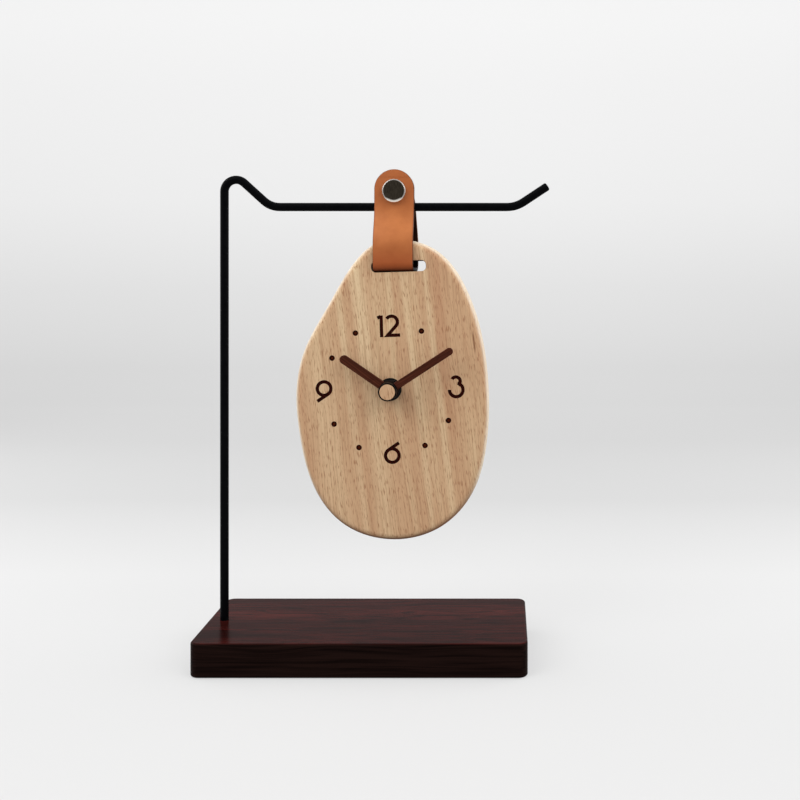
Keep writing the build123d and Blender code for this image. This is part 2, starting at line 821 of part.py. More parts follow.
def second_wheel():
    """Wheel that turns once a minute, its front pivot inside the minute arbor."""
    pinion = (train_pinion_teeth, third_module, third_angle + half_tooth(train_pinion_teeth))
    wheel = (second_teeth, second_module, idler_angle)
    return train_wheel(shaft, pinion, third_y, wheel, second_y, center_y + end_shake)


def idler_wheel():
    """Step between the rotor and the second wheel."""
    toward = idler_angle + 180.0
    pinion = (idler_pinion_teeth, second_module, toward + half_tooth(idler_pinion_teeth))
    wheel = (idler_teeth, idler_module, rotor_angle)
    return train_wheel(idler_place, pinion, second_y, wheel, idler_y, plate_y)


def rotor():
    """Arbor and pinion of the stepping motor."""
    toward = rotor_angle + 180.0 + half_tooth(rotor_pinion_teeth)
    piece = gear(rotor_place, rotor_pinion_teeth, idler_module, toward, idler_y, rotor_y)
    return piece + disc(rotor_place, arbor_radius, plate_y, cover_y + case_wall / 2 - end_shake)


def rotor_magnet():
    """Ring magnet pressed on the rotor."""
    ring = Circle(magnet_diameter / 2) - Circle(arbor_radius + press_clearance)
    return layer(Pos(*rotor_place) * ring, rotor_y, rotor_y + magnet_height)


def stator_plate():
    """Soft iron plate with the rotor's hole and two arms to the coil."""
    outline = Pos(*rotor_place) * Rectangle(stator_width, stator_height)
    arm_length_x = coil_offset + core_width / 2
    for side in (-1, 1):
        place = (rotor_place[0] + arm_length_x / 2, rotor_place[1] + side * arm_offset)
        outline += Pos(*place) * Rectangle(arm_length_x, stator_arm)
    outline -= Pos(*rotor_place) * Circle(magnet_diameter / 2 + stator_gap)
    return layer(outline, stator_y, stator_y + stator_thickness)


def coil_core():
    """Iron bar through the coil, lying on the stator's arms."""
    return bar((coil_x, rotor_place[1]), core_width, stator_height, core_y, stator_y)


def along_coil(radius, low, high):
    """A round piece along the coil's axis, between two heights from its middle."""
    return Pos(coil_x, core_middle_y, rotor_place[1] + low) * Cylinder(
        radius, high - low, align=(Align.CENTER, Align.CENTER, Align.MIN)
    )


def coil_bobbin():
    """Moulded spool around the core."""
    half = coil_length / 2 - free_clearance
    spool = along_coil(bobbin_tube_diameter / 2, -half, half)
    spool += along_coil(bobbin_diameter / 2, -half, bobbin_flange - half)
    spool += along_coil(bobbin_diameter / 2, half - bobbin_flange, half)
    core = bar(
        (coil_x, rotor_place[1]),
        core_width + 2 * press_clearance,
        stator_height,
        core_y - press_clearance,
        stator_y + press_clearance,
    )
    return spool - core


def coil_winding():
    """Fine copper wire, wound solid on the spool."""
    half = coil_length / 2 - free_clearance - bobbin_flange
    hollow = along_coil(bobbin_tube_diameter / 2 + press_clearance, -half, half)
    return along_coil(winding_diameter / 2, -half, half) - hollow


def circuit_board():
    """Small board behind the train plate."""
    return bar(board_place, board_width, board_height, board_y, board_y + board_thickness)


def quartz_crystal():
    """Metal can of the crystal, lying on the board."""
    can_y = board_y + board_thickness + crystal_diameter / 2
    can_z = board_place[1] + board_height / 4 - crystal_length / 2
    return Pos(board_place[0] - board_width / 4, can_y, can_z) * Cylinder(
        crystal_diameter / 2, crystal_length, align=(Align.CENTER, Align.CENTER, Align.MIN)
    )


def control_chip():
    """Sealed chip on the board."""
    place = (board_place[0] + board_width / 4 - board_margin, board_place[1])
    top_y = board_y + board_thickness + chip_height
    blob = disc(place, chip_diameter / 2, board_y + board_thickness, top_y)
    return fillet(blob.edges().sort_by(Axis.Y)[-1], chip_height / 2)


# Places of the battery in its bay, the nub to the right
battery_y = works_y + (back_y - works_y) / 2
bay_half = case_width / 2 - case_wall
contact_gap = bay_half - battery_length / 2


def battery():
    """Round cell with its raised end to the right."""
    radius = battery_diameter / 2
    shell = battery_length - battery_nub_height
    cell = Cylinder(radius, shell, align=(Align.CENTER, Align.CENTER, Align.MIN))
    cell = fillet(cell.edges(), battery_edge_radius)
    groove = Circle(radius + overrun) - Circle(radius - battery_groove)
    groove_place = shell - 2 * battery_edge_radius - battery_groove
    cell -= Pos(0, 0, groove_place) * extrude(groove, amount=battery_groove)
    cell += Cylinder(battery_nub_diameter / 2, battery_length, align=(Align.CENTER, Align.CENTER, Align.MIN))
    return Pos(-battery_length / 2, battery_y, bay_middle_z) * Rot(0, 90, 0) * cell


def contact(side):
    """Bent leaf at one end of the bay: a flat tab with a dimple towards the battery."""
    tab_x = side * (bay_half - contact_thickness / 2)
    tab = Pos(tab_x, battery_y, bay_middle_z) * Box(contact_thickness, contact_width, contact_height)
    dimple = Cylinder(
        battery_nub_diameter / 2,
        contact_gap - contact_thickness - end_shake,
        align=(Align.CENTER, Align.CENTER, Align.MIN),
    )
    dimple_x = side * (bay_half - contact_thickness)
    return tab + Pos(dimple_x, battery_y, bay_middle_z) * Rot(0, -side * 90, 0) * dimple


def positive_contact():
    """Leaf at the battery's raised end."""
    return contact(1)


def negative_contact():
    """Leaf at the battery's flat end."""
    return contact(-1)


stand_pieces = [
    base_block, base_feet, stand_rod, rod_washer, rod_nut, leather_strap, rivet_cap, rivet_screw,
]
clock_pieces = [
    dial_body, hour_hand, minute_hand, hand_cap, cap_inlay, fixing_washer, fixing_nut, rubber_gasket,
    movement_case, movement_cover, train_plate, minute_arbor, hour_wheel, minute_wheel,
    setting_pinion, setting_knob, center_wheel, third_wheel, second_wheel, idler_wheel, rotor,
    rotor_magnet, stator_plate, coil_core, coil_bobbin, coil_winding, circuit_board, quartz_crystal,
    control_chip, battery, positive_contact, negative_contact,
]

os.makedirs("parts", exist_ok=True)
for make in stand_pieces:
    export_step(make(), f"parts/{make.__name__}.step")
for make in clock_pieces:
    export_step(hang * make(), f"parts/{make.__name__}.step")
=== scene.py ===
import bpy
import bmesh
import math
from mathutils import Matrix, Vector


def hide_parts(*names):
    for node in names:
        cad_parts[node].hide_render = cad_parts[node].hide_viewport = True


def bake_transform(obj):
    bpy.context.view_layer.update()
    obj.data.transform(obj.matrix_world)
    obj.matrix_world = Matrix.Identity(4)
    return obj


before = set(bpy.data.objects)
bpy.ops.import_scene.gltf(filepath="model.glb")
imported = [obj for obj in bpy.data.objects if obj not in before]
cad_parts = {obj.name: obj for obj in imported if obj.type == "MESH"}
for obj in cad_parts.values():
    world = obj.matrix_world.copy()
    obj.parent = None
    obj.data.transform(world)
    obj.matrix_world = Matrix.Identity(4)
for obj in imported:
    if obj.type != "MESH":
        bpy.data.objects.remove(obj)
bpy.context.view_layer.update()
bpy.context.scene.view_settings.view_transform = "Standard"


# Base block. A flat slab of hardwood, stained dark reddish brown and rubbed to a soft gloss.
# The grain runs along its length; the cut sides are painted nearly black, a painted shade for the light they
# miss, far darker than the top.
# It is one piece, drilled for the rod, so the modelled solid only needs its finish.

base_top_heights = (0.0190, 0.0195)
stain_shades = [
    (0.32, (0.0165, 0.0026, 0.0021)), (0.50, (0.0370, 0.0056, 0.0045)), (0.66, (0.0600, 0.0092, 0.0073))]
stain_streaks = (0.40, 0.66)
stain_streak_share = 0.80
stain_streak_colour = (0.0090, 0.0022, 0.0019)
painted_shade_side_shades = [(0.35, (0.0045, 0.0022, 0.0019)), (0.62, (0.0135, 0.0062, 0.0050))]
stain_shine = 0.0164
stain_shine_tint = (1.0, 0.70, 0.66, 1.0)
wood_drift_scale = (22, 22, 9)
wood_sway = 0.012
wood_band_scale = (120, 50, 5)
wood_fibre_scale = (1300, 600, 22)
wood_pore_scale = (1700, 1500, 210)
wood_pore_levels = (0.55, 0.70)


def new_finish(name):
    """A material with one Principled shader: the material, its node tree and the shader."""
    finish = bpy.data.materials.new(name)
    finish.use_nodes = True
    tree = finish.node_tree
    return finish, tree, tree.nodes["Principled BSDF"]


def new_figure(name, inputs, outputs):
    """An empty node group for a figure: its tree, what comes in and what goes out."""
    tree = bpy.data.node_groups.new(name, "ShaderNodeTree")
    for socket, kind in inputs.items():
        tree.interface.new_socket(socket, in_out="INPUT", socket_type=kind)
    for socket in outputs:
        tree.interface.new_socket(socket, in_out="OUTPUT", socket_type="NodeSocketFloat")
    return tree, tree.nodes.new("NodeGroupInput").outputs, tree.nodes.new("NodeGroupOutput").inputs


def add(tree, kind, sockets, **settings):
    """A node with its settings made and its sockets set or linked."""
    node = tree.nodes.new(kind)
    for name, value in settings.items():
        setattr(node, name, value)
    for socket, value in sockets.items():
        if isinstance(value, bpy.types.NodeSocket):
            tree.links.new(value, node.inputs[socket])
        else:
            node.inputs[socket].default_value = value
    return node


def math_of(tree, operation, first, second=0.0):
    """One sum of two values."""
    return add(tree, "ShaderNodeMath", {0: first, 1: second}, operation=operation).outputs[0]


def times(tree, first, second):
    """Two values or masks multiplied."""
    return math_of(tree, "MULTIPLY", first, second)


def axes_of(tree, vector):
    """The X, Y and Z of a place."""
    return add(tree, "ShaderNodeSeparateXYZ", {"Vector": vector}).outputs


def ramp_between(tree, value, low, high):
    """A mask that rises smoothly from 0 at low to 1 at high."""
    return add(tree, "ShaderNodeMapRange", {"Value": value, "From Min": low, "From Max": high},
               interpolation_type="SMOOTHSTEP").outputs["Result"]


def mixed(tree, share, under, over):
    """One colour laid over another by a mask; over is a socket or red, green and blue."""
    if not isinstance(over, bpy.types.NodeSocket):
        over = (*over, 1.0)
    return add(tree, "ShaderNodeMix", {"Factor": share, 6: under, 7: over}, data_type="RGBA").outputs[2]


def shades(tree, value, stops):
    """A colour ramp from a list of places and colours."""
    node = add(tree, "ShaderNodeValToRGB", {"Fac": value})
    ramp = node.color_ramp
    while len(ramp.elements) < len(stops):
        ramp.elements.new(0.5)
    for element, (place, colour) in zip(ramp.elements, stops):
        element.position = place
        element.color = (*colour, 1.0)
    return node.outputs["Color"]


def colour_with(tree, shader, colour):
    """Gives the shader its colour."""
    tree.links.new(colour, shader.inputs["Base Color"])


def gloss_with(tree, shader, value, low, high, span=(0.0, 1.0)):
    """Roughness from low to high, as a value runs over its span."""
    level = add(tree, "ShaderNodeMapRange", {"Value": value, "From Min": span[0], "From Max": span[1],
                                             "To Min": low, "To Max": high})
    tree.links.new(level.outputs["Result"], shader.inputs["Roughness"])


def emboss_with(tree, shader, height, strength, depth):
    """A fine relief in the surface."""
    bump = add(tree, "ShaderNodeBump", {"Strength": strength, "Distance": depth, "Height": height})
    tree.links.new(bump.outputs["Normal"], shader.inputs["Normal"])


def object_place(tree, place=(0, 0, 0), turn=(0, 0, 0)):
    """Object coordinates measured from a place and along turned axes."""
    coordinates = add(tree, "ShaderNodeTexCoord", {})
    mapping = add(tree, "ShaderNodeMapping",
                  {"Vector": coordinates.outputs["Object"], "Location": place, "Rotation": turn},
                  vector_type="TEXTURE")
    return mapping.outputs["Vector"]


def stretched_noise(tree, vector, scale, detail):
    """Noise drawn out along the grain: scale gives its fineness on each axis, per metre."""
    drawn = add(tree, "ShaderNodeVectorMath", {0: vector, 1: scale}, operation="MULTIPLY").outputs[0]
    return add(tree, "ShaderNodeTexNoise", {"Vector": drawn, "Scale": 1.0, "Detail": detail}).outputs["Fac"]


def wood_figure():
    """Grain of cut wood along Z: broad bands, fine fibres and short dark pores."""
    tree, entry, leave = new_figure("wood_figure", {"Vector": "NodeSocketVector"},
                                    ("Bands", "Fibres", "Pores"))
    drift = stretched_noise(tree, entry["Vector"], wood_drift_scale, detail=2)
    sway = add(tree, "ShaderNodeCombineXYZ", {"X": times(tree, drift, wood_sway)}).outputs[0]
    bent = add(tree, "ShaderNodeVectorMath", {0: entry["Vector"], 1: sway}).outputs[0]
    dashes = stretched_noise(tree, bent, wood_pore_scale, detail=1)
    tree.links.new(stretched_noise(tree, bent, wood_band_scale, detail=3), leave["Bands"])
    tree.links.new(stretched_noise(tree, bent, wood_fibre_scale, detail=3), leave["Fibres"])
    tree.links.new(ramp_between(tree, dashes, *wood_pore_levels), leave["Pores"])
    return tree


def dress(finish, *names):
    """Gives a finish to the modelled solids of these names."""
    for name in names:
        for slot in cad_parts[name].material_slots:
            slot.material = finish


wood_grain = wood_figure()
stain, tree, shader = new_finish("dark_stained_wood")
along_base = object_place(tree, turn=(0, math.radians(90), 0))
figure = add(tree, "ShaderNodeGroup", {"Vector": along_base}, node_tree=wood_grain).outputs
streak = times(tree, ramp_between(tree, figure["Fibres"], *stain_streaks), stain_streak_share)
top_colour = mixed(tree, streak, shades(tree, figure["Bands"], stain_shades), stain_streak_colour)
# Painted shade: the sides take a far darker colour than the top, in place of the light they lack.
painted_side_shade = shades(tree, figure["Fibres"], painted_shade_side_shades)
on_top = ramp_between(tree, axes_of(tree, object_place(tree))["Z"], *base_top_heights)
colour_with(tree, shader, mixed(tree, on_top, painted_side_shade, top_colour))
gloss_with(tree, shader, figure["Fibres"], low=0.17, high=0.30)
emboss_with(tree, shader, figure["Fibres"], strength=0.12, depth=0.0002)
shader.inputs["Specular IOR Level"].default_value = stain_shine
shader.inputs["Specular Tint"].default_value = stain_shine_tint
dress(stain, "base_block")


# Feet, and what holds the rod from below. Four soft rubber discs are glued into their seats;
# the rod's threaded end takes a plain zinc washer and a hexagon nut in the recess.

mottle_coarseness = 6
mottle_levels = (0.34, 0.66)
mottle_span = (0.3, 0.7)
mottle_gloss = 0.06
skin_depth = 0.0001


def skin_figure():
    """The look of an even material: a broad mottle, and the fine grain of its skin."""
    inputs = {"Vector": "NodeSocketVector", "Fineness": "NodeSocketFloat"}
    tree, entry, leave = new_figure("skin_figure", inputs, ("Mottle", "Grain"))
    coarse = math_of(tree, "DIVIDE", entry["Fineness"], mottle_coarseness)
    tree.links.new(stretched_noise(tree, entry["Vector"], coarse, detail=3), leave["Mottle"])
    tree.links.new(stretched_noise(tree, entry["Vector"], entry["Fineness"], detail=2), leave["Grain"])
    return tree


skin_grain = skin_figure()


def plain_finish(name, dark, light, roughness, metallic, fineness, relief, shine=0.5):
    """A finish of one material: two close shades, mottled gloss and a fine skin."""
    finish, tree, shader = new_finish(name)
    skin = add(tree, "ShaderNodeGroup", {"Vector": object_place(tree), "Fineness": fineness},
               node_tree=skin_grain).outputs
    colour_with(tree, shader, shades(tree, skin["Mottle"], list(zip(mottle_levels, (dark, light)))))
    gloss_with(tree, shader, skin["Mottle"], roughness - mottle_gloss, roughness + mottle_gloss, mottle_span)
    emboss_with(tree, shader, skin["Grain"], relief, skin_depth)
    shader.inputs["Metallic"].default_value = metallic
    shader.inputs["Specular IOR Level"].default_value = shine
    return finish


rubber = plain_finish("soft_black_rubber", (0.012, 0.012, 0.013), (0.022, 0.022, 0.023),
                      roughness=0.75, metallic=0.0, fineness=2600, relief=0.35)
zinc = plain_finish("zinc_plate", (0.42, 0.43, 0.44), (0.58, 0.59, 0.60),
                    roughness=0.34, metallic=1.0, fineness=1500, relief=0.12)
dress(rubber, "base_feet")
dress(zinc, "rod_washer", "rod_nut")


# Stand rod. One length of round steel, bent cold in three places and coated with black powder,
# which leaves a fine orange-peel skin with a dull sheen. Its foot goes through the base.

powder = plain_finish("black_powder_coat", (0.0012, 0.0013, 0.0018), (0.0024, 0.0025, 0.0032),
                      roughness=0.42, metallic=0.0, fineness=2400, relief=0.30, shine=0.025)
dress(powder, "stand_rod")


# Leather strap. One strip of tan hide with round ends and burnished edges, folded through the
# dial's slot and over the rod, smooth grain side out and flesh side in; the flesh side is painted
# near black, a painted shade for the shadow it lies in. It hangs from the rod above, a little
# askew behind, and swings with the dial below.

strap_width = 0.0236
strap_thickness = 0.0022
strap_edge_round = 0.0005
strap_x = 0.009453
strap_route = [
    (-0.0039, 0.2881), (-0.0039, 0.2620), (-0.0114, 0.2460), (-0.0114, 0.228719), (0.0114, 0.228719),
    (0.0114, 0.2460), (0.0039, 0.268641), (-0.0015, 0.2708), (-0.0015, 0.2881)]
strap_bends = [0.022, 0.022, 0.004035, 0.004035, 0.022, 0.0039, 0.0018]
strap_settles = 0.038
strap_cuts = 200
strap_end_sides = 64
strap_hair = 1e-6
strap_rim_angle = 1.2
strap_flat_side = 0.9
dial_tilt = 1.8
slot_slope = math.tan(math.radians(dial_tilt))
rear_skew = 0.0012
rear_skew_top = 0.2705
rear_skew_height = 0.025
hide_cloud_scale = (3, 3, 1)
hide_pore_scale = (70, 70, 1)
hide_levels = (0.30, 0.70)
hide_span = (0.3, 0.7)
hide_gloss = 0.08
hide_depth = 0.0002
hide_pore_share = 0.12
hide_cut_zone = (0.44, 0.50)
hide_cut_wear = 0.45
hide_fold_zone = (1.45, 0.35)
hide_fold_shade = 0.75
hide_end_zone = (1.3, 0.6)
hide_end_darkening = 0.35
slot_zone = (0.57, 0.42)
slot_shade = (0.030, 0.006, 0.003)


def strap_runs(corners, radii):
    """The route as runs and bends in turn: start, heading, bend (0 when straight) and length."""
    runs = []
    here = Vector(corners[0])
    for before, corner, after, radius in zip(corners, corners[1:], corners[2:], radii):
        into = (Vector(corner) - Vector(before)).normalized()
        out = (Vector(after) - Vector(corner)).normalized()
        turn = math.atan2(into.x * out.y - into.y * out.x, into.dot(out))
        reach = radius * math.tan(abs(turn) / 2)
        start = Vector(corner) - into * reach
        runs.append((here, into, 0.0, (start - here).length))
        runs.append((start, into, turn / (radius * abs(turn)), radius * abs(turn)))
        here = Vector(corner) + out * reach
    last = Vector(corners[-1])
    runs.append((here, (last - here).normalized(), 0.0, (last - here).length))
    return runs


def strap_place(runs, distance):
    """The place on the strap's middle at a distance from its front end, and the way out of it."""
    for start, heading, curve, length in runs[:-1]:
        if distance <= length:
            break
        distance -= length
    else:
        start, heading, curve, length = runs[-1]
    if curve == 0.0:
        return start + heading * distance, Vector((heading.y, -heading.x))
    turn = curve * distance
    side = Vector((-heading.y, heading.x))
    place = start + (heading * math.sin(turn) + side * (1 - math.cos(turn))) / curve
    ahead = heading * math.cos(turn) + side * math.sin(turn)
    return place, Vector((ahead.y, -ahead.x))


def held(share):
    """A share kept between 0 and 1."""
    return min(1.0, max(0.0, share))


runs = strap_runs(strap_route, strap_bends)
strap_length = sum(length for start, heading, curve, length in runs)
bm = bmesh.new()
bmesh.ops.create_circle(bm, cap_ends=True, radius=strap_width / 2, segments=strap_end_sides)
far_half = [v for v in bm.verts if v.co.y > strap_hair]
bmesh.ops.translate(bm, verts=bm.verts, vec=(0, strap_width / 2, 0))
bmesh.ops.translate(bm, verts=far_half, vec=(0, strap_length - strap_width, 0))
for cut in range(1, strap_cuts):
    bmesh.ops.bisect_plane(bm, geom=bm.verts[:] + bm.edges[:] + bm.faces[:], dist=strap_hair,
                           plane_co=(0, strap_length * cut / strap_cuts, 0), plane_no=(0, 1, 0))
bmesh.ops.translate(bm, verts=bm.verts, vec=(0, 0, -strap_thickness / 2))
raised = bmesh.ops.extrude_face_region(bm, geom=bm.faces[:])
bmesh.ops.translate(bm, verts=[v for v in raised["geom"] if isinstance(v, bmesh.types.BMVert)],
                    vec=(0, 0, strap_thickness))
bmesh.ops.recalc_face_normals(bm, faces=bm.faces)
rims = [e for e in bm.edges if e.calc_face_angle(0) > strap_rim_angle]
bmesh.ops.bevel(bm, geom=rims, offset=strap_edge_round, offset_type="OFFSET", affect="EDGES",
                segments=3, profile=0.5, material=-1)
flat_map = bm.loops.layers.uv.new("flat_strip")
grain_side, flesh_side, cut_edge = range(3)
for face in bm.faces:
    face.smooth = True
    face.normal_update()
    if face.normal.z > strap_flat_side:
        face.material_index = grain_side
    elif face.normal.z < -strap_flat_side:
        face.material_index = flesh_side
    else:
        face.material_index = cut_edge
    for loop in face.loops:
        loop[flat_map].uv = (loop.vert.co.x / strap_width + 0.5, loop.vert.co.y / strap_width)
for vert in bm.verts:
    middle, way_out = strap_place(runs, vert.co.y)
    place = middle + way_out * vert.co.z
    past_fold = vert.co.y - strap_length / 2
    hang = held((strap_settles - abs(past_fold)) / strap_settles) * slot_slope
    behind = held(past_fold / strap_width + 0.5)
    below = held((rear_skew_top - place.y) / rear_skew_height)
    across = strap_x + vert.co.x + rear_skew * behind * below
    vert.co = (across, place.x, place.y - hang * (strap_width / 2 - vert.co.x))
bmesh.ops.recalc_face_normals(bm, faces=bm.faces)
strap_mesh = bpy.data.meshes.new("leather_strip")
bm.to_mesh(strap_mesh)
bm.free()
strap = bpy.data.objects.new("leather_strip", strap_mesh)
bpy.context.scene.collection.objects.link(strap)


def away_from(tree, value, place):
    """How far a value lies from a place, on either side of it."""
    return math_of(tree, "ABSOLUTE", math_of(tree, "SUBTRACT", value, place))


def hide_figure():
    """Hide on a flat strip, in strap widths: clouds, pores, wear at the cuts, painted shade at the fold and
    in the slot, and darkening towards the ends.
    """
    tree, entry, leave = new_figure("hide_figure", {"Vector": "NodeSocketVector"},
                                    ("Cloud", "Pores", "Wear and shade", "Slot shade"))
    strip = axes_of(tree, entry["Vector"])
    half_length = strap_length / strap_width / 2
    from_middle = away_from(tree, strip["X"], 0.5)
    from_fold = away_from(tree, strip["Y"], half_length)
    end_start, end_full = (half_length - reach for reach in hide_end_zone)
    at_cut = times(tree, ramp_between(tree, from_middle, *hide_cut_zone), hide_cut_wear)
    # Painted shade: the hide darkens towards the fold, where the strap curves under into shadow.
    shade_at_fold = times(tree, ramp_between(tree, from_fold, *hide_fold_zone), hide_fold_shade)
    # Darker towards the two ends of the strip.
    at_end = times(tree, ramp_between(tree, from_fold, end_start, end_full), hide_end_darkening)
    wear_and_shade = math_of(tree, "MAXIMUM", at_cut, math_of(tree, "MAXIMUM", shade_at_fold, at_end))
    tree.links.new(stretched_noise(tree, entry["Vector"], hide_cloud_scale, detail=4), leave["Cloud"])
    tree.links.new(stretched_noise(tree, entry["Vector"], hide_pore_scale, detail=3), leave["Pores"])
    tree.links.new(wear_and_shade, leave["Wear and shade"])
    # Painted shade: near black along the stretch that lies in the slot.
    tree.links.new(ramp_between(tree, from_fold, *slot_zone), leave["Slot shade"])
    return tree


hide_grain = hide_figure()


def leather_finish(name, dark, light, wear_and_shade, roughness, shine, relief):
    """Hide: cloudy colour, a pebbled skin, darker where it is worn at the cuts and towards the ends, and
    painted shade at the fold and in the slot.
    """
    finish, tree, shader = new_finish(name)
    flat = add(tree, "ShaderNodeUVMap", {}, uv_map="flat_strip").outputs["UV"]
    hide = add(tree, "ShaderNodeGroup", {"Vector": flat}, node_tree=hide_grain).outputs
    colour = shades(tree, hide["Cloud"], list(zip(hide_levels, (dark, light))))
    # Painted shade at the fold and in the slot is mixed in here, together with the wear at the cuts.
    colour = mixed(tree, hide["Wear and shade"], colour, wear_and_shade)
    colour = mixed(tree, hide["Slot shade"], colour, slot_shade)
    colour = mixed(tree, times(tree, hide["Pores"], hide_pore_share), colour, wear_and_shade)
    colour_with(tree, shader, colour)
    gloss_with(tree, shader, hide["Pores"], roughness - hide_gloss, roughness + hide_gloss, hide_span)
    emboss_with(tree, shader, hide["Pores"], relief, hide_depth)
    shader.inputs["Specular IOR Level"].default_value = shine
    return finish


strap_mesh.materials.append(leather_finish(
    "tan_leather_grain_side", (0.47, 0.150, 0.042), (0.56, 0.188, 0.055), (0.29, 0.044, 0.008),
    roughness=0.46, shine=0.2, relief=0.18))
# Painted shade: the flesh side gets a near-black colour for the shadow it lies in.
strap_mesh.materials.append(leather_finish(
    "painted_shade_flesh_side", (0.012, 0.004, 0.003), (0.024, 0.008, 0.005), (0.008, 0.003, 0.002),
    roughness=0.85, shine=0.03, relief=0.55))
strap_mesh.materials.append(leather_finish(
    "tan_leather_cut_edge", (0.16, 0.058, 0.026), (0.26, 0.10, 0.046), (0.07, 0.022, 0.010),
    roughness=0.50, shine=0.1, relief=0.40))
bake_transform(strap)
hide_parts("leather_strap")


# Rivet. A broad nickel cap with a rounded, polished rim and a brushed middle; a painted highlight lies on
# the lower rim, and the middle is coloured dark as a painted reflection of the dark room in front. A slotted
# screw from the back draws it down on the two ends of the strap.

rivet_z = 0.2752
rivet_rim_radii = (0.00612, 0.00625)
rivet_highlight_radii = (0.0053, 0.0060)
rivet_highlight_heights = (-0.0036, -0.0056)
rivet_brush_scale = (5200, 500, 420)
rivet_dark_reflection_shades = [(0.32, (0.022, 0.018, 0.013)), (0.68, (0.060, 0.049, 0.036))]
rivet_rim_colour = (0.42, 0.38, 0.35)
rivet_highlight_colour = (0.86, 0.81, 0.74)


def from_axis(tree, axes):
    """The distance from an axis that points to the front."""
    flat_place = add(tree, "ShaderNodeCombineXYZ", {"X": axes["X"], "Z": axes["Z"]}).outputs[0]
    return add(tree, "ShaderNodeVectorMath", {0: flat_place}, operation="LENGTH").outputs["Value"]


nickel, tree, shader = new_finish("brushed_nickel_cap")
from_rivet = object_place(tree, (strap_x, 0, rivet_z))
on_rivet = axes_of(tree, from_rivet)
radius = from_axis(tree, on_rivet)
rim = ramp_between(tree, radius, *rivet_rim_radii)
brushing = stretched_noise(tree, from_rivet, rivet_brush_scale, detail=2)
# Painted reflection: the brushed middle is coloured dark, as if reflecting a dark room.
colour = mixed(tree, rim, shades(tree, brushing, rivet_dark_reflection_shades), rivet_rim_colour)
# Painted highlight: a bright crescent on the lower rim.
painted_highlight = times(tree, ramp_between(tree, radius, *rivet_highlight_radii),
               ramp_between(tree, on_rivet["Z"], *rivet_highlight_heights))
colour_with(tree, shader, mixed(tree, painted_highlight, colour, rivet_highlight_colour))
gloss_with(tree, shader, rim, low=0.42, high=0.24)
emboss_with(tree, shader, brushing, strength=0.10, depth=0.0001)
shader.inputs["Metallic"].default_value = 1.0
dress(nickel, "rivet_cap")
dress(zinc, "rivet_screw")


# Dial body. A slab of pale rubberwood with a pebble's outline and rounded edges, its grain
# upright and full of short brown pores. Hour marks and the strap's slot are burnt by a laser,
# so their floors and walls are charred; a pocket behind holds the movement.

dial_place = (0.007768, 0.0, 0.158216)
dial_turn = (0.0, math.radians(-dial_tilt), 0.0)
dial_grain_turn = -7
pale_shades = [(0.30, (0.570, 0.328, 0.188)), (0.46, (0.615, 0.382, 0.222)),
               (0.60, (0.650, 0.425, 0.250)), (0.72, (0.720, 0.520, 0.312))]
pale_streaks = (0.44, 0.68)
pale_streak_share = 0.48
pale_streak_colour = (0.405, 0.208, 0.108)
pale_pore_share = 0.60
pale_pore_colour = (0.285, 0.104, 0.043)
pale_shine = 0.05
cream_lines = [(-0.0410, 0.0150, 0.0), (-0.0238, 0.0035, 0.0), (-0.0122, 0.0080, 0.55),
               (0.0150, 0.0035, 0.0), (0.0280, 0.0032, 0.1)]
cream_heights = (-0.005, 0.030)
cream_colour = (0.775, 0.575, 0.352)
mark_depths = (-0.00998, -0.00985)
mark_deepest = -0.0090
mark_ring = (0.028, 0.049)
dot_ring_radius = 0.0388
dot_heart_radii = (0.0010, 0.0003)
dot_heart_share = 0.8
dot_heart_colour = (0.075, 0.012, 0.001)
slot_middle = (0.0072, 0.07199)
slot_half = (0.0168, 0.0039)
slot_char_depths = (0.0100, 0.0096)
char_shades = [(0.35, (0.010, 0.0005, 0.0001)), (0.65, (0.034, 0.0020, 0.0003))]
mineral_place = (0.0522, 0.0217)
mineral_widths = (0.0008, 0.0001)
mineral_lengths = (0.0075, 0.0030)
mineral_share = 0.90
mineral_colour = (0.235, 0.105, 0.050)
sheen_depths = (0.0098, 0.0078)
sheen_heights = (-0.084, -0.050)
sheen_share = 0.85
sheen_shades = [(0.36, (0.890, 0.795, 0.650)), (0.68, (0.785, 0.665, 0.505))]
sheen_pore_share = 0.25
sheen_pore_colour = (0.47, 0.28, 0.16)
bottom_shade_depths = (0.0099, 0.0084)
bottom_shade_heights = (-0.046, -0.078)
bottom_shade_share = 0.85
bottom_shade_colour = (0.290, 0.140, 0.080)


def pale_wood(name, turn, lines):
    """Pale sawn wood with cream lines; returns its finish, tree, shader, colour, figure and axes."""
    finish, tree, shader = new_finish(name)
    along_grain = object_place(tree, dial_place, (0, math.radians(turn), 0))
    figure = add(tree, "ShaderNodeGroup", {"Vector": along_grain}, node_tree=wood_grain).outputs
    in_grain = axes_of(tree, along_grain)
    colour = shades(tree, figure["Bands"], pale_shades)
    upper = ramp_between(tree, in_grain["Z"], *cream_heights)
    for line_place, line_half, line_share in lines:
        near_line = ramp_between(tree, away_from(tree, in_grain["X"], line_place), line_half, 0.0)
        patchy = math_of(tree, "ADD", times(tree, upper, line_share), figure["Bands"])
        colour = mixed(tree, times(tree, near_line, patchy), colour, cream_colour)
    streak = times(tree, ramp_between(tree, figure["Fibres"], *pale_streaks), pale_streak_share)
    colour = mixed(tree, streak, colour, pale_streak_colour)
    colour = mixed(tree, times(tree, figure["Pores"], pale_pore_share), colour, pale_pore_colour)
    shader.inputs["Specular IOR Level"].default_value = pale_shine
    return finish, tree, shader, colour, figure, in_grain


